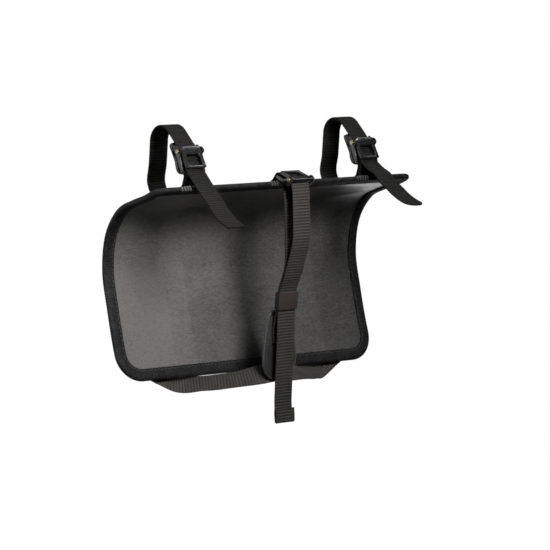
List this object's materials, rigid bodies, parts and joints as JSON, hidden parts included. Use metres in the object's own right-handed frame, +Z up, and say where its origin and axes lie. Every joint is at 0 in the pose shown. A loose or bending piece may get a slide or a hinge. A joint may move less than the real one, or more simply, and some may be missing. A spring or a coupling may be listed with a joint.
{
  "type": "bicycle handlebar harness bag",
  "caption": "Curved open fabric cradle with bound edges, hung from a handlebar by buckled straps, with a buckled strap and sling that hold a rolled bag in the curve.",
  "frame": {"origin": "centre of the handlebar that the straps go round, midway between the two straps", "axes": "+X along the handlebar, -Y towards the open front, +Z up"},
  "size_m": [0.2408, 0.1257, 0.2211],
  "materials": {
    "cradle_fabric": "stiff coated weave, satin",
    "binding_tape": "ribbed folded tape, matt",
    "webbing": "ribbed polyester webbing",
    "pad_rubber": "smooth rubber-coated sheet",
    "black_metal": "black, semi-gloss",
    "pin_steel": "bright, slightly warm",
    "keeper_elastic": "smooth woven elastic"
  },
  "bodies": {
    "harness": {"cradle_panel": "cradle_fabric", "edge_binding": "binding_tape", "bar_strap_left": "webbing", "bar_strap_right": "webbing", "buckle_tab_left": "webbing", "buckle_tab_right": "webbing", "buckle_tab_centre": "webbing", "buckle_pad_left": "pad_rubber", "buckle_pad_right": "pad_rubber", "buckle_frame_left": "black_metal", "buckle_frame_right": "black_metal", "buckle_frame_centre": "black_metal", "cam_pin_left": "pin_steel", "cam_pin_right": "pin_steel", "cam_pin_centre": "pin_steel", "centre_strap": "webbing", "strap_keeper": "keeper_elastic", "leaf_tab": "pad_rubber", "lower_sling": "webbing"},
    "lever_left": {"cam_lever_left": "black_metal"},
    "lever_right": {"cam_lever_right": "black_metal"},
    "lever_centre": {"cam_lever_centre": "black_metal"}
  },
  "joints": [
    {"name": "lever_left_hinge", "type": "hinge", "parent": "harness", "child": "lever_left", "pos_m": [-0.0808, -0.0248, -0.0044], "axis": [-1, 0, 0], "range_deg": [0, 60], "stiffness_Nm_per_rad": 0.01, "springref_deg": -17.19},
    {"name": "lever_right_hinge", "type": "hinge", "parent": "harness", "child": "lever_right", "pos_m": [0.0808, -0.0248, -0.0044], "axis": [-1, 0, 0], "range_deg": [0, 60], "stiffness_Nm_per_rad": 0.01, "springref_deg": -17.19},
    {"name": "lever_centre_hinge", "type": "hinge", "parent": "harness", "child": "lever_centre", "pos_m": [0, -0.0506, -0.0272], "axis": [1, 0, 0], "range_deg": [0, 60], "stiffness_Nm_per_rad": 0.01, "springref_deg": -17.19}
  ]
}
